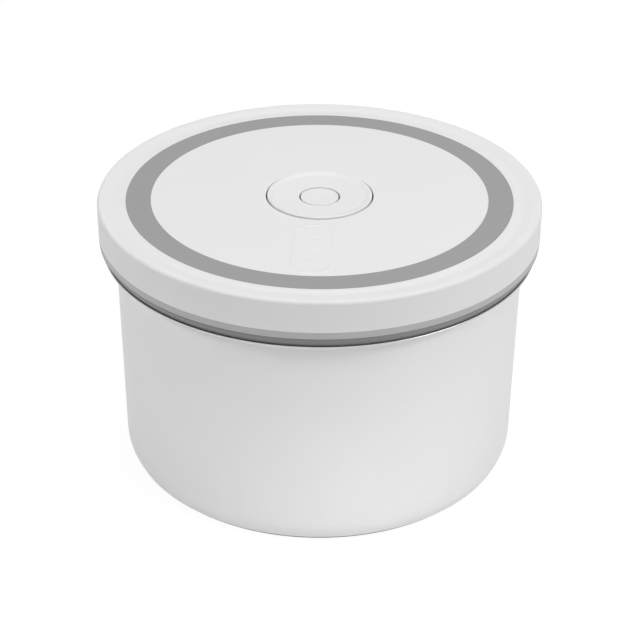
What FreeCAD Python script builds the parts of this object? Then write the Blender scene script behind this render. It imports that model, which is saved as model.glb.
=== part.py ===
import FreeCAD
import Part
import math
import os

# Round vacuum food canister: a coated steel pot and a lid with a built-in press pump.
# Millimetres, +Z up, origin on the table under the centre of the pot. The front faces -Y.

# Driving dimensions of the pot
pot_height = 94.9            # underside of the base to the top of the rim
pot_rim_radius = 88.5        # outer edge of the flat rim
pot_rim_width = 5.2          # flat rim outside the wall
pot_draft = 0.95             # degrees that the wall leans outwards
pot_sheet = 0.8              # steel thickness
pot_base_corner = 5.2        # outside radius between base and wall
pot_rim_bend = 1.0           # bend between wall and rim, on the outside
pot_dish_rise = 1.0          # raised middle of the base
pot_dish_slope = 4.0         # width of the slope round the raised middle
pot_dish_margin = 6.0        # flat base between that slope and the foot ring
foot_inset = 1.5             # flat base outside the non-slip foot ring
foot_width = 7.0
foot_height = 0.8

# Driving dimensions of the rim seal
seal_height = 4.1            # rim to the edge of the inner lid
seal_overhang = 1.3          # outside of the seal beyond the pot's rim
seal_lip_height = 1.8        # rim to the lower edge of the outside
seal_lip_round = 0.5
seal_land_inset = 1.5        # rim left free outside the face that lies on it
seal_tongue_depth = 1.2
seal_tongue_height = 1.8
seal_tongue_lift = 1.2       # rim to the underside of the tongue

# Driving dimensions of the lid cover
cover_overhang = 1.5         # outside of the cover beyond the pot's rim
cover_height = 12.3          # foot of the skirt to the top face
cover_wall = 2.2
cover_top = 2.8
cover_rim_rise = 0.7         # raised outer rim above the top face
cover_rim_round = 1.3
cover_crest_inset = 2.8      # outside of the cover to the crest of the rim
cover_crest_slope = 4.8      # crest to the shallow valley inside the rim
cover_valley_width = 2.0
cover_valley_depth = 0.25
cover_soft_round = 8.0
collar_wall = 1.8
snap_count = 8
snap_angle = 14.0            # degrees that each snap lug covers
snap_reach = 0.9             # overlap of a lug with the flange above it
snap_height = 1.3
hold_rib_count = 16
cover_rib_count = 12
cover_rib_depth = 3.0
rib_thickness = 1.6
ring_margin = 1.9            # valley to the grey non-slip ring on top
ring_width = 10.1
ring_depth = 1.4

# Driving dimensions of the raised relief in front of the button
relief_well_margin = 4.2     # button well to the relief
relief_ring_margin = 1.8     # relief to the grey ring
relief_width = 16.0
relief_line = 0.9
relief_height = 0.1
relief_pad_count = 3
relief_pad_length = 8.6
relief_pad_width = 5.4
relief_pad_height = 0.2

# Driving dimensions of the inner lid
plug_depth = 3.0             # how far the inner lid reaches below the rim
plug_edge_round = 1.5
deck_thickness = 2.4
deck_pad_height = 1.1        # raised seat for the pump
inner_wall = 3.5
inner_edge_height = 2.8      # edge that shows between the seal and the cover
inner_edge_inset = 0.1       # that edge behind the cover's skirt
inner_flange_thickness = 2.0
inner_flange_lift = 1.8      # foot of the cover to the underside of the flange
inner_rib_count = 12
inner_rib_height = 5.0

# Driving dimensions of the pump
pump_stroke = 7.0
button_radius = 20.9
button_proud = 0.3           # crest of the button above the lid
button_wall = 1.6
button_roof = 2.0
button_rim_width = 1.5
button_rim_step = 0.35
button_dish_depth = 0.5
button_edge_round = 0.5
stop_reach = 2.2             # flange that stops the button under the collar
stop_thickness = 1.2
cylinder_radius = 12.5       # bore
cylinder_wall = 2.1
cylinder_floor = 2.0
cylinder_flange = 2.4
cylinder_flange_edge = 4.0   # middle of a screw to the edge of the flange
rod_shoulder = 1.0           # rod beyond its spigot
rod_spigot_wall = 1.3
rod_socket = 3.0             # length of the spigot in the piston
piston_web = 1.8
cup_lower_land = 1.6
cup_upper_land = 1.4
cup_depth = 2.4
cup_base = 1.3
cup_lip = 0.75
tube_radius = 2.6            # fixed vent tube in the middle of the cylinder
tube_bore_radius = 1.3
tube_ring_section = 1.8
valve_radius = 8.4           # loose silicone ring on the cylinder floor
valve_thickness = 0.7
valve_lift = 0.8
keeper_reach = 0.7           # bead on the vent tube above the ring
keeper_height = 0.6
port_count = 6
port_radius = 0.9
port_circle = 5.6
pump_spring_wire = 1.2
pump_spring_turns = 4

# Driving dimensions of the release valve in the button
release_radius = 7.7
release_travel = 2.0
release_recess = 0.1         # below the edge of its hole
release_roof = 1.6
release_wall = 1.4
release_hollow = 0.2         # finger hollow in its top
release_hub_radius = 2.6
release_well_depth = 5.8     # edge of the hole to the floor of the well
well_wall = 1.6
seat_thickness = 1.2
seat_hole_radius = 2.3
seat_land = 1.2              # width of the face that the seal closes
stem_radius = 1.5
stem_head = 1.2
stem_cap = 0.6               # release button above the top of the stem
release_seal_thickness = 0.6
release_spring_radius = 4.6
release_spring_wire = 0.5
release_spring_turns = 2.5

# Driving dimensions of the fixings, the gasket and the strainer
screw_count = 4
screw_margin = 1.6           # screw heads outside the stop flange
screw_radius = 1.25
screw_length = 8.0
screw_head_radius = 2.8
screw_head = 1.8
screw_slot = 0.7
boss_radius = 3.4
boss_floor = 1.2
gasket_land = 2.0            # pad inside the gasket's groove
gasket_width = 2.2
gasket_height = 1.5
strainer_wall = 1.6
strainer_floor = 1.2
strainer_gap = 1.6           # chamber under the cylinder floor
strainer_grip = 8.5          # height of the sleeve round the cylinder
strainer_hole_radius = 1.1
strainer_pitch = 5.0         # distance between the rings of holes
strainer_hole_step = 6       # holes that each ring has more than the one inside it
strainer_bead = 0.4

# Clearances
slip = 0.05                  # pieces that are pushed together
running_gap = 0.05           # seals on the surface they run along
moving_gap = 0.3             # walls that move past each other
end_gap = 0.5                # room left at the end of a travel
button_gap = 1.0
release_gap = 0.65
plug_gap = 0.8
flange_gap = 0.4             # inner lid in the cover
neck_gap = 0.6               # inner lid inside the snap lugs
stem_gap = 0.7               # stem head in the hollow rod
pilot_gap = 0.05
edge_break = 0.4
line_edge = 0.2              # edges along the lines that show outside

# Levels above the table
rim_top = foot_height + pot_height
inner_edge_under = rim_top + seal_height
cover_foot = inner_edge_under + inner_edge_height
lid_top = cover_foot + cover_height
cover_under = lid_top - cover_top
inner_flange_under = cover_foot + inner_flange_lift
inner_flange_top = inner_flange_under + inner_flange_thickness
deck_under = rim_top - plug_depth
deck_top = deck_under + deck_thickness
pad_top = deck_top + deck_pad_height
cylinder_flange_top = pad_top + cylinder_flange
stop_under = cylinder_flange_top + pump_stroke + end_gap
stop_top = stop_under + stop_thickness
collar_foot = stop_top + running_gap
button_crest = lid_top + button_proud
button_dish_top = button_crest - button_rim_step
button_hole_edge = button_dish_top - button_dish_depth
button_roof_under = button_hole_edge - button_roof
well_floor = button_hole_edge - release_well_depth
seat_under = well_floor - seat_thickness
stem_head_top = seat_under - release_seal_thickness
stem_head_under = stem_head_top - stem_head
cylinder_top = seat_under - pump_stroke - end_gap
tube_top = stem_head_under - release_travel - pump_stroke - 2 * end_gap
rod_end = tube_top - edge_break
piston_top = rod_end + rod_socket
gland_under = rod_end - tube_ring_section
piston_under = gland_under - piston_web
keeper_top = piston_under - pump_stroke - end_gap
keeper_under = keeper_top - keeper_height
floor_top = keeper_under - valve_lift - valve_thickness - running_gap
floor_under = floor_top - cylinder_floor
strainer_top_face = floor_under - strainer_gap
strainer_under = strainer_top_face - strainer_floor
release_top = button_hole_edge - release_recess
release_roof_under = release_top - release_roof
stem_top = release_top - release_hollow - stem_cap - slip
release_skirt_foot = well_floor + release_travel + end_gap
tongue_under = rim_top + seal_tongue_lift
tongue_top = tongue_under + seal_tongue_height

# Radii that follow from the sizes above
pot_wall_radius = pot_rim_radius - pot_rim_width
pot_base_radius = pot_wall_radius - (pot_height - pot_sheet) * math.tan(math.radians(pot_draft))
foot_outer_radius = pot_base_radius - pot_base_corner - foot_inset
foot_inner_radius = foot_outer_radius - foot_width
pot_dish_radius = foot_inner_radius - pot_dish_margin - pot_dish_slope
seal_radius = pot_rim_radius + seal_overhang
seal_land_radius = pot_rim_radius - seal_land_inset
cover_radius = pot_rim_radius + cover_overhang
cover_inner = cover_radius - cover_wall
cover_crest_radius = cover_radius - cover_crest_inset
cover_valley_radius = cover_crest_radius - cover_crest_slope
ring_outer_radius = cover_valley_radius - cover_valley_width - ring_margin
ring_inner_radius = ring_outer_radius - ring_width
inner_flange_radius = cover_inner - flange_gap
snap_radius = inner_flange_radius - snap_reach
inner_neck_radius = snap_radius - neck_gap
plug_radius = pot_wall_radius - pot_sheet - plug_gap
tongue_radius = plug_radius - seal_tongue_depth
inner_wall_radius = plug_radius - inner_wall
inner_edge_radius = cover_radius - inner_edge_inset
upper_wall_radius = inner_neck_radius - inner_wall
well_radius = button_radius + button_gap
relief_start = well_radius + relief_well_margin
relief_end = ring_inner_radius - relief_ring_margin
stop_radius = button_radius + stop_reach
screw_circle = stop_radius + screw_margin + screw_head_radius
cylinder_flange_radius = screw_circle + cylinder_flange_edge
button_inner = button_radius - button_wall
cylinder_outer = cylinder_radius + cylinder_wall
pump_spring_radius = (button_inner + cylinder_outer) / 2
deck_hole = cylinder_outer + moving_gap
gasket_radius = deck_hole + gasket_land + gasket_width / 2
piston_radius = cylinder_radius - moving_gap
cup_radius = piston_radius - cup_depth
release_hole = release_radius + release_gap
well_outer = release_hole + well_wall
stem_head_radius = seat_hole_radius + seat_land
rod_bore_radius = stem_head_radius + stem_gap
rod_spigot_radius = rod_bore_radius + rod_spigot_wall
rod_radius = rod_spigot_radius + rod_shoulder
strainer_inner = cylinder_outer + slip
bead_groove_radius = cylinder_outer - strainer_bead - slip

origin = FreeCAD.Vector(0, 0, 0)
up = FreeCAD.Vector(0, 0, 1)


def point(radius, height):
    return FreeCAD.Vector(radius, 0, height)


def rounded_wire(corners):
    """Closed outline through (radius, height) or (radius, height, round) corners."""
    points = [point(corner[0], corner[1]) for corner in corners]
    rounds = [corner[2] if len(corner) > 2 else 0.0 for corner in corners]
    count = len(points)
    to_next = [points[(i + 1) % count] - points[i] for i in range(count)]
    half_angles = [to_next[i].getAngle(to_next[i - 1] * -1) / 2 for i in range(count)]
    setbacks = [rounds[i] / math.tan(half_angles[i]) for i in range(count)]
    wanted = [max(setbacks[i] + setbacks[(i + 1) % count], 1e-9) for i in range(count)]
    room = [0.98 * to_next[i].Length / wanted[i] for i in range(count)]
    setbacks = [setbacks[i] * min(1.0, room[i], room[i - 1]) for i in range(count)]
    edges = []
    for i in range(count):
        ahead = FreeCAD.Vector(to_next[i]).normalize()
        behind = FreeCAD.Vector(to_next[i - 1]).normalize() * -1
        leave = points[i] + ahead * setbacks[i]
        if setbacks[i] > 1e-6:
            arrive = points[i] + behind * setbacks[i]
            inward = (ahead + behind).normalize()
            radius = setbacks[i] * math.tan(half_angles[i])
            middle = points[i] + inward * (radius / math.sin(half_angles[i]) - radius)
            edges.append(Part.Arc(arrive, middle, leave).toShape())
        nearest = points[(i + 1) % count] - ahead * setbacks[(i + 1) % count]
        if (nearest - leave).Length > 1e-6:
            edges.append(Part.makeLine(leave, nearest))
    return Part.Wire(Part.__sortEdges__(edges))


def turned(corners, angle=360.0):
    """Solid turned about the Z axis from an outline of corners."""
    solid = Part.Face(rounded_wire(corners)).revolve(origin, up, angle)
    if solid.Volume < 0:
        solid.reverse()
    return solid


def ring(inner, outer, low, high, bulge=0.0):
    """Turned ring of a plain section, with its four corners rounded by the bulge."""
    return turned([(inner, low, bulge), (outer, low, bulge), (outer, high, bulge), (inner, high, bulge)])


def spun(shape, angle):
    copy = shape.copy()
    copy.rotate(origin, up, angle)
    return copy


def around(shape, count, start=0.0):
    """Copies of a shape, evenly spaced about the Z axis."""
    return [spun(shape, start + 360.0 * i / count) for i in range(count)]


def upright(radius, low, high, circle=0.0):
    return Part.makeCylinder(radius, high - low, FreeCAD.Vector(circle, 0, low))


def radial_rib(inner, outer, low, high):
    corner = FreeCAD.Vector(inner, -rib_thickness / 2, low)
    return Part.makeBox(outer - inner, rib_thickness, high - low, corner)


def sheet_section(path, thickness):
    """Corners of a bent sheet: an outside path of (radius, height, round) and its offset to the left."""
    points = [point(corner[0], corner[1]) for corner in path]
    runs = [(points[i + 1] - points[i]).normalize() for i in range(len(points) - 1)]
    sides = [FreeCAD.Vector(-run.z, 0, run.x) for run in runs]
    inside = []
    for i, spot in enumerate(points):
        first = sides[max(i - 1, 0)]
        second = sides[min(i, len(sides) - 1)]
        shift = (first + second) * (thickness / (1 + first.dot(second)))
        left_turn = runs[max(i - 1, 0)].cross(runs[min(i, len(runs) - 1)]).y < 0
        bend = path[i][2]
        if bend > 0:
            bend += -thickness if left_turn else thickness
        inside.append((spot.x + shift.x, spot.z + shift.z, bend))
    return list(path) + inside[::-1]


def canister_pot():
    base = foot_height
    rim_under = rim_top - pot_sheet
    lip = 0.45 * pot_sheet
    path = [
        (0.0, base + pot_dish_rise, 0.0),
        (pot_dish_radius, base + pot_dish_rise, 2 * pot_sheet),
        (pot_dish_radius + pot_dish_slope, base, 2 * pot_sheet),
        (pot_base_radius, base, pot_base_corner),
        (pot_wall_radius, rim_under, pot_rim_bend),
        (pot_rim_radius, rim_under, 0.0),
    ]
    section = sheet_section(path, pot_sheet)
    ends = (len(path) - 1, len(path))
    return turned([corner[:2] + (lip,) if i in ends else corner for i, corner in enumerate(section)])


def foot_ring():
    return ring(foot_inner_radius, foot_outer_radius, 0.0, foot_height)


def rim_seal():
    return turned([
        (plug_radius + slip, rim_top),
        (seal_land_radius, rim_top),
        (seal_radius, rim_top + seal_lip_height, seal_lip_round),
        (seal_radius, inner_edge_under),
        (plug_radius + slip, inner_edge_under),
        (plug_radius + slip, tongue_top),
        (tongue_radius + slip, tongue_top - slip, edge_break),
        (tongue_radius + slip, tongue_under + slip, edge_break),
        (plug_radius + slip, tongue_under),
    ])


def stadium(length, width, low, high):
    """Upright prism with round ends, its middle on the Z axis and its length along Y."""
    half = length / 2 - width / 2
    side = width / 2
    right_foot = FreeCAD.Vector(side, -half, low)
    right_head = FreeCAD.Vector(side, half, low)
    left_head = FreeCAD.Vector(-side, half, low)
    left_foot = FreeCAD.Vector(-side, -half, low)
    edges = [
        Part.makeLine(right_foot, right_head),
        Part.Arc(right_head, FreeCAD.Vector(0, length / 2, low), left_head).toShape(),
        Part.makeLine(left_head, left_foot),
        Part.Arc(left_foot, FreeCAD.Vector(0, -length / 2, low), right_foot).toShape(),
    ]
    return Part.Face(Part.Wire(edges)).extrude(FreeCAD.Vector(0, 0, high - low))


def soft_pad(length, width, height):
    """Shallow oval dome on the top of the lid, its middle on the Z axis and its length along X."""
    depth = (width * width / 4 - height * height) / (2 * height)
    left = FreeCAD.Vector(-length / 2, 0, lid_top)
    right = FreeCAD.Vector(length / 2, 0, lid_top)
    down = FreeCAD.Vector(0, 0, -depth)
    back = Part.Arc(left, FreeCAD.Vector(0, 0, lid_top + height), right).toShape()
    rest = Part.makePolygon([right, right + down, left + down, left])
    barrel = Part.Face(Part.Wire([back] + rest.Edges)).revolve(left + down, FreeCAD.Vector(1, 0, 0), 360)
    corner = FreeCAD.Vector(-length / 2, -width / 2, lid_top - slip)
    return barrel.common(Part.makeBox(length, width, height + 2 * slip, corner))


def relief():
    """Raised oval frame with plain finger pads, on the lid in front of the button."""
    length = relief_end - relief_start
    low = lid_top - relief_height
    high = lid_top + relief_height
    frame = stadium(length, relief_width, low, high)
    frame = frame.cut(stadium(length - 2 * relief_line, relief_width - 2 * relief_line, low, high))
    pad = soft_pad(relief_pad_length, relief_pad_width, relief_pad_height)
    raised = [frame]
    for i in range(relief_pad_count):
        place = length * ((i + 0.5) / relief_pad_count - 0.5) * (1 - relief_width / length / 3)
        raised.append(pad.translated(FreeCAD.Vector(0, place, 0)))
    middle = FreeCAD.Vector(0, -(relief_start + relief_end) / 2, 0)
    return [piece.translated(middle) for piece in raised]


def lid_cover():
    crest = lid_top + cover_rim_rise
    shell = turned([
        (well_radius, collar_foot),
        (well_radius, lid_top, line_edge),
        (ring_inner_radius, lid_top),
        (ring_inner_radius, lid_top - ring_depth),
        (ring_outer_radius, lid_top - ring_depth),
        (ring_outer_radius, lid_top),
        (cover_valley_radius - cover_valley_width, lid_top, cover_soft_round),
        (cover_valley_radius, lid_top - cover_valley_depth, cover_soft_round),
        (cover_crest_radius, crest, cover_soft_round),
        (cover_radius, crest, cover_rim_round),
        (cover_radius, cover_foot, line_edge),
        (cover_inner, cover_foot, edge_break),
        (cover_inner, cover_under, cover_rim_round),
        (well_radius + collar_wall, cover_under, edge_break),
        (well_radius + collar_wall, collar_foot),
    ])
    lug_top = inner_flange_under - running_gap
    lug = turned([
        (snap_radius, lug_top),
        (snap_radius, lug_top - snap_height / 2),
        (cover_inner + slip, lug_top - snap_height),
        (cover_inner + slip, lug_top),
    ], snap_angle)
    hold_rib = radial_rib(upper_wall_radius, cover_inner + slip, inner_flange_top, cover_under + slip)
    deck_rib = radial_rib(well_radius + collar_wall - slip, ring_inner_radius, cover_under - cover_rib_depth,
                          cover_under + slip)
    added = around(lug, snap_count, -snap_angle / 2)
    added += around(hold_rib, hold_rib_count)
    added += around(deck_rib, cover_rib_count)
    return shell.fuse(added + relief()).removeSplitter()


def accent_ring():
    return ring(ring_inner_radius + slip, ring_outer_radius - slip, lid_top - ring_depth, lid_top)


def inner_lid():
    groove_under = pad_top - gasket_height
    shell = turned([
        (deck_hole, deck_under, edge_break),
        (plug_radius, deck_under, plug_edge_round),
        (plug_radius, tongue_under),
        (tongue_radius, tongue_under),
        (tongue_radius, tongue_top),
        (plug_radius, tongue_top),
        (plug_radius, inner_edge_under),
        (inner_edge_radius, inner_edge_under, line_edge),
        (inner_edge_radius, cover_foot),
        (inner_neck_radius, cover_foot),
        (inner_neck_radius, inner_flange_under),
        (inner_flange_radius, inner_flange_under),
        (inner_flange_radius, inner_flange_top, edge_break),
        (upper_wall_radius, inner_flange_top, edge_break),
        (upper_wall_radius, cover_foot, edge_break),
        (inner_wall_radius, cover_foot, edge_break),
        (inner_wall_radius, deck_top, edge_break),
        (cylinder_flange_radius + slip, deck_top),
        (cylinder_flange_radius + slip, pad_top),
        (gasket_radius + gasket_width / 2 + slip, pad_top),
        (gasket_radius + gasket_width / 2 + slip, groove_under),
        (gasket_radius - gasket_width / 2 - slip, groove_under),
        (gasket_radius - gasket_width / 2 - slip, pad_top),
        (deck_hole, pad_top),
    ])
    rib_top = deck_top + inner_rib_height
    rib = radial_rib(cylinder_flange_radius, inner_wall_radius + slip, deck_top - slip, rib_top)
    rib = rib.cut(upright(cylinder_flange_radius + moving_gap, deck_top, lid_top))
    pilot_foot = cylinder_flange_top - screw_length - edge_break
    boss = upright(boss_radius, pilot_foot - boss_floor, deck_under + slip, screw_circle)
    pilot = upright(screw_radius + pilot_gap, pilot_foot, pad_top + slip, screw_circle)
    half_step = 180.0 / screw_count
    shell = shell.fuse(around(rib, inner_rib_count) + around(boss, screw_count, half_step))
    return shell.cut(Part.makeCompound(around(pilot, screw_count, half_step))).removeSplitter()


def pump_cylinder():
    bead_low = strainer_under + strainer_grip - 3 * strainer_bead - slip
    bead_high = bead_low + 2 * strainer_bead + 2 * slip
    shell = turned([
        (tube_bore_radius, floor_under),
        (cylinder_outer, floor_under, edge_break),
        (cylinder_outer, bead_low),
        (bead_groove_radius, bead_low),
        (bead_groove_radius, bead_high),
        (cylinder_outer, bead_high),
        (cylinder_outer, pad_top),
        (cylinder_flange_radius, pad_top),
        (cylinder_flange_radius, cylinder_flange_top, edge_break),
        (cylinder_outer, cylinder_flange_top, edge_break),
        (cylinder_outer, cylinder_top, edge_break),
        (cylinder_radius, cylinder_top, edge_break),
        (cylinder_radius, floor_top),
        (tube_radius, floor_top),
        (tube_radius, keeper_under),
        (tube_radius + keeper_reach, keeper_under, keeper_height / 4),
        (tube_radius + keeper_reach, keeper_top, keeper_height / 2),
        (tube_radius, keeper_top),
        (tube_radius, tube_top, edge_break),
        (tube_bore_radius, tube_top),
    ])
    port = upright(port_radius, floor_under - slip, floor_top + slip, port_circle)
    hole = upright(screw_radius + moving_gap, pad_top - slip, cylinder_flange_top + slip, screw_circle)
    holes = around(port, port_count) + around(hole, screw_count, 180.0 / screw_count)
    return shell.cut(Part.makeCompound(holes))


def cylinder_gasket():
    half = gasket_width / 2
    return ring(gasket_radius - half, gasket_radius + half, pad_top - gasket_height, pad_top, 0.6 * half)


def cylinder_screws():
    head_top = cylinder_flange_top + screw_head
    tip = cylinder_flange_top - screw_length
    screw = turned([
        (0.0, tip),
        (screw_radius / 2, tip),
        (screw_radius, tip + screw_radius),
        (screw_radius, cylinder_flange_top),
        (screw_head_radius, cylinder_flange_top),
        (screw_head_radius, head_top, 0.6 * screw_head),
        (0.0, head_top),
    ])
    reach = 0.6 * screw_head_radius
    corner = FreeCAD.Vector(-reach, -screw_slot / 2, head_top - screw_head / 2)
    slot = Part.makeBox(2 * reach, screw_slot, screw_head, corner)
    screw = screw.cut(Part.makeCompound([slot, spun(slot, 90.0)]))
    screw = screw.translated(FreeCAD.Vector(screw_circle, 0, 0))
    return Part.makeCompound(around(screw, screw_count, 180.0 / screw_count))


def check_valve():
    return ring(tube_radius + moving_gap, valve_radius, floor_top, floor_top + valve_thickness)


def strainer_cap():
    top = strainer_under + strainer_grip
    bead_under = top - 3 * strainer_bead
    cap = turned([
        (0.0, strainer_under),
        (strainer_inner + strainer_wall, strainer_under, strainer_floor),
        (strainer_inner + strainer_wall, top, edge_break),
        (strainer_inner, top, edge_break),
        (strainer_inner, bead_under + 2 * strainer_bead),
        (strainer_inner - strainer_bead, bead_under + strainer_bead),
        (strainer_inner, bead_under),
        (strainer_inner, strainer_top_face),
        (0.0, strainer_top_face),
    ])
    low = strainer_under - slip
    high = strainer_top_face + slip
    holes = [upright(strainer_hole_radius, low, high)]
    room = strainer_inner - 2 * strainer_hole_radius
    for i in range(1, int(room / strainer_pitch) + 1):
        hole = upright(strainer_hole_radius, low, high, i * strainer_pitch)
        holes += around(hole, i * strainer_hole_step)
    return cap.cut(Part.makeCompound(holes))


def pump_button():
    rim_inner = button_radius - button_rim_width
    return turned([
        (release_hole, button_hole_edge, line_edge),
        (rim_inner - button_rim_step, button_dish_top),
        (rim_inner, button_crest, button_rim_step / 2),
        (button_radius, button_crest, button_edge_round),
        (button_radius, stop_top),
        (stop_radius, stop_top),
        (stop_radius, stop_under, edge_break),
        (button_inner, stop_under, edge_break),
        (button_inner, button_roof_under, edge_break),
        (well_outer, button_roof_under, edge_break),
        (well_outer, seat_under, edge_break),
        (rod_radius, seat_under, edge_break),
        (rod_radius, piston_top),
        (rod_spigot_radius, piston_top),
        (rod_spigot_radius, rod_end),
        (rod_bore_radius, rod_end),
        (rod_bore_radius, seat_under),
        (seat_hole_radius, seat_under),
        (seat_hole_radius, well_floor),
        (release_hole, well_floor),
    ])


def piston():
    gland_radius = tube_radius + tube_ring_section
    return turned([
        (tube_radius + moving_gap, piston_under, edge_break),
        (piston_radius, piston_under, edge_break),
        (piston_radius, piston_under + cup_lower_land),
        (cup_radius, piston_under + cup_lower_land),
        (cup_radius, piston_top - cup_upper_land),
        (piston_radius, piston_top - cup_upper_land),
        (piston_radius, piston_top, edge_break),
        (rod_spigot_radius + slip, piston_top),
        (rod_spigot_radius + slip, rod_end),
        (gland_radius, rod_end),
        (gland_radius, gland_under),
        (tube_radius + moving_gap, gland_under),
    ])


def piston_cup_seal():
    low = piston_under + cup_lower_land + slip
    high = piston_top - cup_upper_land - slip
    inner = cup_radius + slip
    lip = cylinder_radius - running_gap
    notch = (inner + lip) / 2
    return turned([
        (inner, low),
        (piston_radius, low, cup_lip / 2),
        (lip, high - cup_lip, cup_lip),
        (lip, high),
        (lip - cup_lip, high),
        (notch, low + cup_base, cup_lip / 2),
        (inner + cup_lip, high),
        (inner, high),
    ])


def tube_o_ring():
    outer = tube_radius + tube_ring_section - slip
    return ring(tube_radius + running_gap, outer, gland_under + slip, rod_end - slip, 0.4 * tube_ring_section)


def release_button():
    hub_bore = stem_radius + slip
    return turned([
        (0.0, release_top - release_hollow),
        (release_radius, release_top, line_edge),
        (release_radius, release_skirt_foot, edge_break),
        (release_radius - release_wall, release_skirt_foot, edge_break),
        (release_radius - release_wall, release_roof_under, edge_break),
        (release_hub_radius, release_roof_under),
        (release_hub_radius, release_skirt_foot),
        (hub_bore, release_skirt_foot),
        (hub_bore, stem_top + slip),
        (0.0, stem_top + slip),
    ])


def release_stem():
    return turned([
        (0.0, stem_head_under),
        (stem_head_radius, stem_head_under, edge_break),
        (stem_head_radius, stem_head_top),
        (stem_radius, stem_head_top),
        (stem_radius, stem_top),
        (0.0, stem_top),
    ])


def release_seal():
    return ring(stem_radius + slip, stem_head_radius, stem_head_top, seat_under)


def biarc(start, start_way, end, end_way):
    """Two tangent arcs from one point and direction to another."""
    span = end - start
    ways = start_way + end_way
    slope = span.dot(ways)
    bend = 2 * (1 - start_way.dot(end_way))
    reach = (math.sqrt(slope * slope + bend * span.dot(span)) - slope) / bend
    start_arm = start + start_way * reach
    end_arm = end - end_way * reach
    joint = (start_arm + end_arm) * 0.5
    joint_way = (end_arm - start_arm).normalize()
    arcs = []
    for near, way, far in ((start, start_way, joint), (joint, joint_way, end)):
        chord = far - near
        half_turn = way.getAngle(chord)
        across = way - chord * (way.dot(chord) / chord.dot(chord))
        sagitta = chord.Length / 2 * math.tan(half_turn / 2)
        middle = (near + far) * 0.5 + across.normalize() * sagitta
        arcs.append(Part.Arc(near, middle, far).toShape())
    return arcs


def least_gap(edges, wire):
    """Smallest space between one turn of a wound wire and the next, on points along its middle."""
    points = [edge.valueAt(edge.FirstParameter + (edge.LastParameter - edge.FirstParameter) * i / 4)
              for edge in edges for i in range(4)]
    half_turn = 16
    return min((points[i] - points[j]).Length for i in range(len(points))
               for j in range(i + half_turn, len(points))) - wire


def coil_spring(name, radius, wire, turns, low, high):
    """Wire wound at a steady rate between two seats, by biarcs of a quarter turn."""
    rise = high - low - wire
    steps = int(round(turns * 4))
    climb = rise / (turns * 2 * math.pi)
    spots = []
    ways = []
    for i in range(steps + 1):
        across = radius * math.cos(i * math.pi / 2)
        along = radius * math.sin(i * math.pi / 2)
        spots.append(FreeCAD.Vector(across, along, low + wire / 2 + rise * i / steps))
        ways.append(FreeCAD.Vector(-along, across, climb).normalize())
    edges = []
    for i in range(steps):
        edges += biarc(spots[i], ways[i], spots[i + 1], ways[i + 1])
    section = Part.Wire([Part.makeCircle(wire / 2, spots[0], ways[0])])
    print(name, "least gap between turns, mm:", round(least_gap(edges, wire), 2))
    return Part.Wire(edges).makePipeShell([section], True, False)


def pump_spring():
    return coil_spring("pump_spring", pump_spring_radius, pump_spring_wire, pump_spring_turns,
                       cylinder_flange_top + slip, button_roof_under - slip)


def release_spring():
    return coil_spring("release_spring", release_spring_radius, release_spring_wire, release_spring_turns,
                       well_floor + slip, release_roof_under - slip)


pieces = [
    canister_pot, foot_ring,
    lid_cover, accent_ring, inner_lid, rim_seal,
    pump_cylinder, cylinder_gasket, cylinder_screws, check_valve, strainer_cap, pump_spring,
    pump_button, piston, piston_cup_seal, tube_o_ring,
    release_button, release_stem, release_seal, release_spring,
]

os.makedirs("parts", exist_ok=True)
for piece in pieces:
    piece().exportStep("parts/" + piece.__name__ + ".step")
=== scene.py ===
import math
import bpy
from mathutils import Matrix, Vector


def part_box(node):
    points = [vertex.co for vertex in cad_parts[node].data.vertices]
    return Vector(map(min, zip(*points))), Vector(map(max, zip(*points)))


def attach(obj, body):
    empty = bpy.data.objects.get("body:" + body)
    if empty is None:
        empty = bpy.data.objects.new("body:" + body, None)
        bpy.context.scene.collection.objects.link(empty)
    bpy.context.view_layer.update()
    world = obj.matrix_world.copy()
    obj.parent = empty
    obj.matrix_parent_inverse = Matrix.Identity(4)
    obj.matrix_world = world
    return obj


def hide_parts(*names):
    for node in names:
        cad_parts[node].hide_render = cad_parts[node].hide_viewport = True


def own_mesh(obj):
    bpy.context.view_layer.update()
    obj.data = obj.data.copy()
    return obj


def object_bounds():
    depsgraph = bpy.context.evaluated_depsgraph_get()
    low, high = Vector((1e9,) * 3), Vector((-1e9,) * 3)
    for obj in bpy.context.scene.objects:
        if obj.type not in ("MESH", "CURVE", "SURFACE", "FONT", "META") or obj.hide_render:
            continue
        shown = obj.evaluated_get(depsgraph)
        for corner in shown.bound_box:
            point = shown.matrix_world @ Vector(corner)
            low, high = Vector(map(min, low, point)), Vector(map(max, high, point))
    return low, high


# Round vacuum canister of coated steel, with a press pump in its moulded lid. Lengths are in metres.
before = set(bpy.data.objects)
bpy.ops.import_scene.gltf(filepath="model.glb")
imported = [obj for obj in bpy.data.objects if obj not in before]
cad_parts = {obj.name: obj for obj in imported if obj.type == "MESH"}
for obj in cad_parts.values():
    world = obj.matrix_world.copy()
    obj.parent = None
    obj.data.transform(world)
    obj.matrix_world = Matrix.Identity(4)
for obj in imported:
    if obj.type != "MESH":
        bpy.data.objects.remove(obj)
cad_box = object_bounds()
mm = 0.001

# Sizes of the drawn steel pot that its box doesn't give
sheet = 0.8 * mm
rim_width = 5.2 * mm
rim_bend = 4.6 * mm
rim_edge_round = 0.3 * sheet
coat_climb = 0.4 * sheet
draft = math.radians(0.95)
foot_slope = math.radians(27)
foot_rise = 6.1 * mm
foot_bend = 13.0 * mm
base_bend = 3.4 * mm
dish_radius = 58.0 * mm
dish_slope = 4.0 * mm
dish_rise = 1.0 * mm
dish_bend = 2 * sheet

# Foot ring under the pot, wider than the ring of the model so that its dark edge shows below the base: a
# painted shadow line along the foot
pad_bore = 68.0 * mm
pad_shade_edge = 77.25 * mm
pad_round = 0.15 * mm

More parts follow.
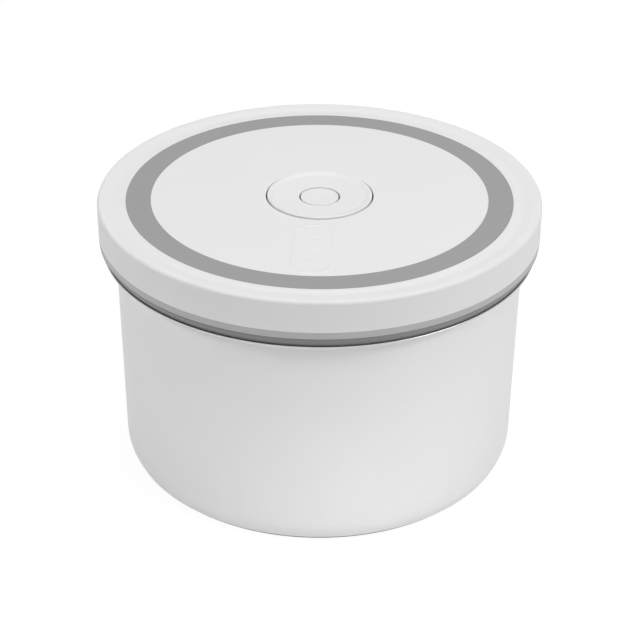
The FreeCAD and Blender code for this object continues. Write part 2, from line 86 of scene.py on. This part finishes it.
# Sizes of the rim seal that its box doesn't give
seal_bore = 81.75 * mm
seal_land = 87.65 * mm
seal_lip = 3.4 * mm
seal_round = 0.4 * mm
tongue_bore = 80.55 * mm
tongue_height = 1.7 * mm
tongue_lift = 1.25 * mm

# Oval line in relief on the lid, in front of the button, and the bead along it
relief_near = 66.6 * mm
relief_far = 26.1 * mm
relief_width = 16.0 * mm
relief_line = 0.9 * mm
bead_width = 2.6 * mm
bead_height = 0.16 * mm

# Rim of the press button: wider and prouder than the button under it, and sloped down to the dish
button_radius = 20.9 * mm
button_rim_reach = 0.4 * mm
button_rim_rise = 0.3 * mm
button_rim_width = 2.9 * mm
button_rim_crest = 1.1 * mm
button_rim_fall = 0.8 * mm
button_rim_round = 0.5 * mm

# Depths of that rim below its crest, in the button's top and round its edge, and its bite into that edge
button_rim_root = 1.3 * mm
button_rim_skirt = 3.0 * mm
button_rim_bite = 0.5 * mm

# Springs of the pump and of the release button, and the share of a turn that lies flat at each end
pump_wire = 1.2 * mm
pump_turns = 4
release_wire = 0.5 * mm
release_turns = 2.5
flat_turn = 0.35

# Camera of the photograph: its angles, the point that it looks at, its distance, and its lens in millimetres
camera_turn = math.radians(2.7)
camera_pitch = math.radians(30.04)
camera_roll = math.radians(0.41)
camera_aim_side = 0.5 * mm
camera_aim_height = 56.3 * mm
camera_distance = 841 * mm
camera_lens = 112.5

# Sockets of Blender's Mix node that carry colours
mix_first = 6
mix_second = 7
mix_result = 2


def linear(code):
    """Linear colour of an sRGB hex value."""
    shares = [int(code[i:i + 2], 16) / 255 for i in (1, 3, 5)]
    return tuple(s / 12.92 if s <= 0.04045 else ((s + 0.055) / 1.055) ** 2.4 for s in shares) + (1.0,)


def add(tree, kind, settings=None, links=None):
    """Adds a node with inputs or properties set by name or number, and inputs linked to (node, output)."""
    node = tree.nodes.new(kind)
    for name, value in (settings or {}).items():
        if isinstance(name, str) and hasattr(node, name):
            setattr(node, name, value)
        else:
            node.inputs[name].default_value = value
    for name, (source, output) in (links or {}).items():
        tree.links.new(source.outputs[output], node.inputs[name])
    return node


def finish_of(name, **sockets):
    """New material with its shader's constants set on the shader's own sockets."""
    made = bpy.data.materials.new(name)
    made.use_nodes = True
    shader = made.node_tree.nodes["Principled BSDF"]
    for socket, value in sockets.items():
        shader.inputs[socket.replace("_", " ")].default_value = value
    return made, made.node_tree, shader


def surfaced(tree, shader, tones, light, dark, rough, relief, strength, depth):
    """Colour and roughness that follow the pattern of tones, and a raised surface that follows the relief."""
    shades = {"data_type": "RGBA", mix_first: linear(dark), mix_second: linear(light)}
    shade = add(tree, "ShaderNodeMix", shades, {0: (tones, 0)})
    gloss = add(tree, "ShaderNodeMapRange", {"To Min": rough[0], "To Max": rough[1]}, {"Value": (tones, 0)})
    bump = add(tree, "ShaderNodeBump", {"Strength": strength, "Distance": depth}, {"Height": (relief, 0)})
    tree.links.new(shade.outputs[mix_result], shader.inputs["Base Color"])
    tree.links.new(gloss.outputs[0], shader.inputs["Roughness"])
    tree.links.new(bump.outputs[0], shader.inputs["Normal"])


def grained(name, light, dark, patch, rough, grain, depth, **sockets):
    """Soft patches between two shades, a roughness that follows them, and a fine raised grain."""
    made, tree, shader = finish_of(name, **sockets)
    place = add(tree, "ShaderNodeTexCoord")
    spot = {"Vector": (place, "Object")}
    patches = add(tree, "ShaderNodeTexNoise", {"Scale": 1 / patch, "Detail": 3.0}, spot)
    grains = add(tree, "ShaderNodeTexNoise", {"Scale": 1 / grain, "Detail": 2.0}, spot)
    surfaced(tree, shader, patches, light, dark, rough, grains, strength=1.0, depth=depth)
    return made


def turned_steel(name, light, dark, rough, line, depth):
    """Metal with fine lines round the axis, as polishing on a lathe leaves."""
    made, tree, shader = finish_of(name, Metallic=1.0)
    place = add(tree, "ShaderNodeTexCoord")
    flatten = {"operation": "MULTIPLY", 1: (1.0, 1.0, 0.0)}
    flat = add(tree, "ShaderNodeVectorMath", flatten, {0: (place, "Object")})
    radius = add(tree, "ShaderNodeVectorMath", {"operation": "LENGTH"}, {0: (flat, 0)})
    split = add(tree, "ShaderNodeSeparateXYZ", None, {0: (place, "Object")})
    across = add(tree, "ShaderNodeCombineXYZ", None, {"X": (radius, "Value"), "Y": (split, "Z")})
    lines = add(tree, "ShaderNodeTexNoise", {"Scale": 1 / line, "Detail": 4.0}, {"Vector": (across, 0)})
    surfaced(tree, shader, lines, light, dark, rough, lines, strength=0.6, depth=depth)
    return made


# Powder coat, baked on steel: an even white with the faint orange peel of powder that melted as it lay.
powder_coat = grained("powder_coated_steel", "#E9E9E9", "#E5E5E5", 30 * mm, (0.42, 0.5), 1.6 * mm,
                      0.004 * mm, IOR=1.5)
# Stainless sheet, deep drawn and polished on the lathe: fine rings, a soft grey mirror.
drawn_steel = turned_steel("deep_drawn_stainless", "#C9C9C8", "#B5B5B4", (0.2, 0.32), 0.7 * mm, 0.004 * mm)
# ABS from a spark-eroded mould: an even satin white. Its grit is drawn coarser than life so that it shows.
moulded_abs = grained("moulded_white_abs", "#E3E3E3", "#E0E0E0", 25 * mm, (0.44, 0.52), 0.7 * mm,
                      0.003 * mm, IOR=1.54)
# Polypropylene, moulded: a light grey that is waxy, with slow flow patches.
moulded_pp = grained("moulded_grey_polypropylene", "#B7B7B7", "#AFAFAF", 12 * mm, (0.38, 0.48), 0.9 * mm,
                     0.004 * mm, IOR=1.49)
# Thermoplastic elastomer, moulded on to the cover: matt mid grey that grips.
matt_elastomer = grained("moulded_grey_elastomer", "#989898", "#939393", 14 * mm, (0.62, 0.72), 0.6 * mm,
                         0.006 * mm, IOR=1.48)
# Silicone rubber, pressed and cured: darker grey with a satin skin.
seal_silicone = grained("cured_grey_silicone", "#828282", "#7A7A7A", 18 * mm, (0.36, 0.46), 1.2 * mm,
                        0.004 * mm, IOR=1.41)
# Silicone rubber without pigment: milky, lets light a little way in.
clear_silicone = grained("cured_clear_silicone", "#E4E4DF", "#DADAD5", 8 * mm, (0.3, 0.4), 0.8 * mm,
                         0.004 * mm, IOR=1.41, Transmission_Weight=0.35)
# Rubber for the foot, pressed: matt mid grey, a little dusty. Its edge below the base also serves as painted
# shade along the foot.
foot_rubber = grained("pressed_grey_rubber", "#8A8A89", "#7C7C7B", 6 * mm, (0.68, 0.8), 0.8 * mm,
                      0.01 * mm, IOR=1.52)
# Stainless wire and screws, drawn and tumbled: bright with fine lines.
bright_steel = turned_steel("drawn_stainless_wire", "#CFCFCD", "#B9B9B8", (0.18, 0.3), 0.3 * mm, 0.003 * mm)

# Finishes of the nodes whose shapes are kept
node_finishes = {
    moulded_abs: ("lid_cover", "pump_button", "release_button"),
    matt_elastomer: ("accent_ring",),
    moulded_pp: ("inner_lid", "pump_cylinder", "strainer_cap", "piston", "release_stem"),
    clear_silicone: ("cylinder_gasket", "check_valve", "piston_cup_seal", "tube_o_ring", "release_seal"),
    bright_steel: ("cylinder_screws",),
}
for material, nodes in node_finishes.items():
    for node in nodes:
        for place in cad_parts[node].material_slots:
            place.material = material


def new_object(name, data):
    """Object in the scene for a mesh, a lamp or a camera."""
    made = bpy.data.objects.new(name, data)
    bpy.context.scene.collection.objects.link(made)
    return made


def smooth_piece(name, points, faces, materials, finishes=None, crease=math.radians(35)):
    """Smooth mesh, sharp where faces meet at more than the crease, with each face's finish by its number."""
    mesh = bpy.data.meshes.new(name)
    mesh.from_pydata(points, [], faces)
    for material in materials:
        mesh.materials.append(material)
    if finishes:
        mesh.polygons.foreach_set("material_index", finishes)
    mesh.polygons.foreach_set("use_smooth", [True] * len(faces))
    mesh.set_sharp_from_angle(angle=crease)
    mesh.validate()
    return new_object(name, mesh)


def rounded(corners, step=math.radians(8)):
    """Closed outline of (radius, height, finish) with tangent arcs, from corners of (radius, height, round).

    A corner may give a fourth value, the number of the finish from there on. Without it, that is 0.
    """
    count = len(corners)
    spots = [Vector(corner[:2]) for corner in corners]
    outline = []
    for i in range(count):
        before = spots[i - 1] - spots[i]
        after = spots[(i + 1) % count] - spots[i]
        bend = corners[i][2]
        finish = corners[i][3] if len(corners[i]) > 3 else 0
        if bend == 0:
            outline.append((spots[i].x, spots[i].y, finish))
            continue
        half = before.angle(after) / 2
        setback = bend / math.tan(half)
        middle = spots[i] + (before.normalized() + after.normalized()).normalized() * (bend / math.sin(half))
        start = spots[i] + before.normalized() * setback - middle
        end = spots[i] + after.normalized() * setback - middle
        turn = start.angle_signed(end)
        pieces = max(2, round(abs(turn) / step))
        for k in range(pieces + 1):
            spot = middle + Matrix.Rotation(-turn * k / pieces, 2) @ start
            outline.append((spot.x, spot.y, finish))
    return outline


def turned(name, outline, materials, segments=192):
    """Mesh turned about the Z axis from a closed outline, each band with its own finish."""
    points = []
    faces = []
    finishes = []
    rows = []
    for radius, height, _ in outline:
        if radius == 0:
            rows.append([len(points)] * segments)
            points.append((0.0, 0.0, height))
            continue
        rows.append(list(range(len(points), len(points) + segments)))
        for k in range(segments):
            angle = 2 * math.pi * k / segments
            points.append((radius * math.cos(angle), radius * math.sin(angle), height))
    for i, low in enumerate(rows):
        high = rows[(i + 1) % len(rows)]
        for k in range(segments):
            beside = (k + 1) % segments
            face = [low[k], low[beside], high[beside], high[k]]
            face = [spot for j, spot in enumerate(face) if spot not in face[:j]]
            if len(face) > 2:
                faces.append(face)
                finishes.append(outline[i][2])
    return smooth_piece(name, points, faces, materials, finishes)


def drawn_pot():
    """Pot of bent sheet, coated outside and part way up its rim's edge, and bare steel from there inwards."""
    low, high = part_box("canister_pot")
    rim = high.x
    wall = rim - rim_width
    base = low.z
    under = high.z - sheet
    lean = math.tan(draft)
    foot = wall - (under - base - foot_rise) * lean
    base_edge = foot - foot_rise * math.tan(foot_slope)
    inner_wall = wall - sheet / math.cos(draft) + sheet * lean
    inner_foot = foot - sheet / math.cos(draft)
    inner_rise = foot_rise + sheet * math.tan(foot_slope / 2)
    inner_edge = base_edge - sheet * math.tan(math.pi / 4 - foot_slope / 2)
    coat, steel = 0, 1
    corners = [
        (0.0, base + dish_rise, 0.0, coat),
        (dish_radius, base + dish_rise, dish_bend, coat),
        (dish_radius + dish_slope, base, dish_bend, coat),
        (base_edge, base, base_bend, coat),
        (foot, base + foot_rise, foot_bend, coat),
        (wall, under, rim_bend, coat),
        (rim, under, rim_edge_round, coat),
        (rim, under + coat_climb, 0.0, steel),
        (rim, high.z, rim_edge_round, steel),
        (inner_wall, high.z, rim_bend + sheet, steel),
        (inner_foot, base + inner_rise, foot_bend - sheet, steel),
        (inner_edge, base + sheet, base_bend - sheet, steel),
        (dish_radius + dish_slope, base + sheet, dish_bend, steel),
        (dish_radius, base + dish_rise + sheet, dish_bend, steel),
        (0.0, base + dish_rise + sheet, 0.0, steel),
    ]
    pot = turned("pot_shell", rounded(corners), [powder_coat, drawn_steel])
    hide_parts("canister_pot")
    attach(pot, "canister")


def foot_pad():
    """Flat ring of rubber under the base, widened so that its edge shows as a thin dark line: painted shade
    along the foot.
    """
    low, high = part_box("foot_ring")
    corners = [
        (pad_bore, low.z, pad_round),
        (pad_shade_edge, low.z, pad_round),
        (pad_shade_edge, high.z, 0.0),
        (pad_bore, high.z, 0.0),
    ]
    pad = turned("foot_pad", rounded(corners), [foot_rubber])
    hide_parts("foot_ring")
    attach(pad, "canister")


def lip_seal():
    """Ring of silicone whose lip leans in, from its upright face down to the rim of the pot."""
    low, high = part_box("rim_seal")
    tongue_low = low.z + tongue_lift
    tongue_top = tongue_low + tongue_height
    corners = [
        (seal_bore, low.z, 0.0),
        (seal_land, low.z, seal_round / 2),
        (high.x, low.z + seal_lip, seal_round),
        (high.x, high.z, seal_round / 4),
        (seal_bore, high.z, 0.0),
        (seal_bore, tongue_top, 0.0),
        (tongue_bore, tongue_top, seal_round),
        (tongue_bore, tongue_low, seal_round),
        (seal_bore, tongue_low, 0.0),
    ]
    seal = turned("lip_seal", rounded(corners), [seal_silicone])
    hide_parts("rim_seal")
    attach(seal, "lid")


def relief_bead():
    """Low round bead along the oval relief on the top of the lid."""
    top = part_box("accent_ring")[1].z
    reach = (relief_width - relief_line) / 2
    half = (relief_near - relief_far - relief_width) / 2
    middle = -(relief_near + relief_far) / 2
    arc_steps, run_steps, section_steps = 48, 12, 10
    spine = []
    for end in (1, -1):
        for k in range(arc_steps + 1):
            angle = math.pi * k / arc_steps
            way = Vector((end * math.cos(angle), end * math.sin(angle)))
            spine.append((Vector((0, middle + end * half)), way))
        for k in range(1, run_steps):
            shift = Vector((0, middle + end * half * (1 - 2 * k / run_steps)))
            spine.append((shift, Vector((-end, 0))))
    section = []
    for k in range(section_steps + 1):
        share = 2 * k / section_steps - 1
        section.append((share * bead_width / 2, bead_height * (1 + math.cos(math.pi * share)) / 2))
    section += [(bead_width / 2, -bead_height), (-bead_width / 2, -bead_height)]
    points = []
    faces = []
    count = len(section)
    for i, (centre, way) in enumerate(spine):
        for across, rise in section:
            spot = centre + way * (reach + across)
            points.append((spot.x, spot.y, top + rise))
        here = i * count
        ahead = (i + 1) % len(spine) * count
        for k in range(count):
            beside = (k + 1) % count
            faces.append((here + k, here + beside, ahead + beside, ahead + k))
    bead = smooth_piece("relief_bead", points, faces, [moulded_abs])
    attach(bead, "lid")


def button_rim():
    """Sloped rim round the dish of the press button, on top of the button and round its edge."""
    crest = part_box("pump_button")[1].z + button_rim_rise
    outer = button_radius + button_rim_reach
    inner = button_radius - button_rim_width
    core = button_radius - button_rim_bite
    corners = [
        (inner, crest - button_rim_root, 0.0),
        (core, crest - button_rim_root, 0.0),
        (core, crest - button_rim_skirt, 0.0),
        (outer, crest - button_rim_skirt, button_rim_round / 2),
        (outer, crest, button_rim_round),
        (outer - button_rim_crest, crest, 2 * button_rim_round),
        (inner, crest - button_rim_fall, 0.0),
    ]
    rim = turned("button_rim", rounded(corners), [moulded_abs], segments=128)
    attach(rim, "pump")


def wound_spring(node, body, wire, turns):
    """Coil of round wire with its ends laid flat."""
    low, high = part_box(node)
    radius = high.x - wire / 2
    rise = high.z - low.z - wire
    turn_steps, wire_steps = 48, 14
    steps = round(turns * turn_steps)
    points = []
    faces = []
    for i in range(steps + 1):
        angle = 2 * math.pi * i / turn_steps
        share = min(1.0, max(0.0, (i / turn_steps - flat_turn) / (turns - 2 * flat_turn)))
        level = low.z + wire / 2 + rise * share
        for k in range(wire_steps):
            way = 2 * math.pi * k / wire_steps
            reach = radius + wire / 2 * math.cos(way)
            height = level + wire / 2 * math.sin(way)
            points.append((reach * math.cos(angle), reach * math.sin(angle), height))
    for i in range(steps):
        here = i * wire_steps
        ahead = here + wire_steps
        for k in range(wire_steps):
            beside = (k + 1) % wire_steps
            faces.append((here + k, ahead + k, ahead + beside, here + beside))
    last = steps * wire_steps
    faces.append(tuple(range(wire_steps)))
    faces.append(tuple(last + k for k in reversed(range(wire_steps))))
    spring = smooth_piece(node + "_coil", points, faces, [bright_steel], crease=math.radians(50))
    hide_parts(node)
    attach(spring, body)
    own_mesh(spring)


drawn_pot()
foot_pad()
lip_seal()
relief_bead()
button_rim()
wound_spring("pump_spring", "lid", pump_wire, pump_turns)
wound_spring("release_spring", "pump", release_wire, release_turns)


def seen_rays(tree):
    """1 on rays that reach the eye, straight or by way of a mirror or clear surface, and else 0."""
    path = add(tree, "ShaderNodeLightPath")
    larger = {"operation": "MAXIMUM"}
    mirrored = add(tree, "ShaderNodeMath", larger, {0: (path, "Is Camera Ray"), 1: (path, "Is Glossy Ray")})
    return add(tree, "ShaderNodeMath", larger, {0: (mirrored, 0), 1: (path, "Is Transmission Ray")})


def pale_floor(low):
    """Floor that is pale as a light, and to the eye nearly white with a faint shadow."""
    matt = {"Base_Color": linear("#DCDCDC"), "Roughness": 1.0, "Specular_IOR_Level": 0.0}
    made, tree, shader = finish_of("pale_floor", **matt)
    shade = add(tree, "ShaderNodeBsdfDiffuse", {"Color": linear("#6A6A6A")})
    glow = add(tree, "ShaderNodeEmission", {"Color": linear("#FFFFFF"), "Strength": 0.9})
    paper = add(tree, "ShaderNodeAddShader", None, {0: (shade, 0), 1: (glow, 0)})
    either = {0: (seen_rays(tree), 0), 1: (shader, 0), 2: (paper, 0)}
    mixed = add(tree, "ShaderNodeMixShader", None, either)
    tree.links.new(mixed.outputs[0], tree.nodes["Material Output"].inputs[0])
    half = 3.0
    corners = [(-half, -half, low), (half, -half, low), (half, half, low), (-half, half, low)]
    mesh = bpy.data.meshes.new("floor")
    mesh.from_pydata(corners, [], [(0, 1, 2, 3)])
    mesh.materials.append(made)
    floor = new_object("floor", mesh)


def white_sky(level):
    """Sky that is white to the eye, and softer as a light."""
    world = bpy.data.worlds.new("studio")
    world.use_nodes = True
    bpy.context.scene.world = world
    sky = world.node_tree
    soft = add(sky, "ShaderNodeBackground", {"Color": linear("#FFFFFF"), "Strength": level})
    white = add(sky, "ShaderNodeBackground", {"Color": linear("#FFFFFF"), "Strength": 1.0})
    either = {0: (seen_rays(sky), 0), 1: (soft, 0), 2: (white, 0)}
    mixed = add(sky, "ShaderNodeMixShader", None, either)
    sky.links.new(mixed.outputs[0], sky.nodes["World Output"].inputs[0])


def panel(name, place, aim, size, power, mirrored=True):
    """Soft light of a width and height, turned to a height on the axis, that glossy surfaces may mirror."""
    lamp = bpy.data.lights.new(name, "AREA")
    lamp.shape = "RECTANGLE"
    lamp.size, lamp.size_y = size
    lamp.energy = power
    made = new_object(name, lamp)
    made.location = place
    made.rotation_euler = (Vector((0.0, 0.0, aim)) - Vector(place)).to_track_quat("-Z", "Y").to_euler()
    made.visible_glossy = mirrored


def photo_camera():
    """Camera at the photograph's angle: pitch 30 degrees, a long lens, and a slight roll."""
    level = math.cos(camera_pitch)
    side = Vector((math.cos(camera_turn), math.sin(camera_turn), 0))
    back = Vector((math.sin(camera_turn) * level, -math.cos(camera_turn) * level, math.sin(camera_pitch)))
    rise = back.cross(side)
    right = side * math.cos(camera_roll) + rise * math.sin(camera_roll)
    up = rise * math.cos(camera_roll) - side * math.sin(camera_roll)
    aim = side * camera_aim_side + Vector((0, 0, camera_aim_height))
    lens = bpy.data.cameras.new("camera")
    lens.lens = camera_lens
    made = new_object("camera", lens)
    stance = Matrix((right, up, back)).transposed().to_4x4()
    made.matrix_world = Matrix.Translation(aim + back * camera_distance) @ stance
    bpy.context.scene.camera = made


pale_floor(cad_box[0].z)
white_sky(level=0.25)
# Lights from above: a soft box at the right, and a strip over the back that makes the cover's edge crisp
panel("key_light", place=(0.5, -0.35, 1.1), aim=0.08, size=(0.7, 0.7), power=2.4)
panel("top_strip", place=(0.0, 0.45, 1.15), aim=0.1, size=(0.5, 0.2), power=3.3)
# Lights from the sides and the front, for the wall
panel("left_card", place=(-0.9, -0.4, 0.8), aim=0.08, size=(0.6, 0.3), power=4.5, mirrored=False)
panel("front_box", place=(0.05, -0.95, 0.82), aim=0.08, size=(0.7, 0.3), power=0.75)
panel("right_card", place=(0.9, -0.4, 0.8), aim=0.08, size=(0.6, 0.3), power=5.0)
# A low light close in front, for the foot
panel("foot_card", place=(0.035, -0.15, 0.011), aim=0.011, size=(0.3, 0.02), power=0.032)
photo_camera()
bpy.context.scene.view_settings.view_transform = "Standard"
